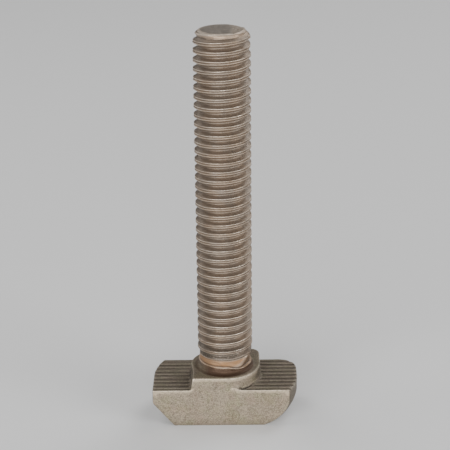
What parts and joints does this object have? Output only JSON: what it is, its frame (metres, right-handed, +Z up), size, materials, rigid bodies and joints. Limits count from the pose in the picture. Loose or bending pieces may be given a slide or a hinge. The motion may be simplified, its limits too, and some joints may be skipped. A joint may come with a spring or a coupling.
{
  "type": "t slot bolt",
  "caption": "Threaded steel bolt with a twist-in T head: chamfered underside, serrated wings that bear on a slot's lips, a locating neck and a long shank that takes a flanged nut.",
  "frame": {"origin": "middle of the head's flat bottom", "axes": "+Z up the shank's axis towards its tip, X along the head from end to end, Y across the head"},
  "size_m": [0.0204, 0.0098, 0.0556],
  "materials": {
    "blasted_steel": "fine blasted, thin warm oxide and plating"
  },
  "bodies": {
    "root": {"t_slot_bolt": "blasted_steel"}
  },
  "joints": []
}
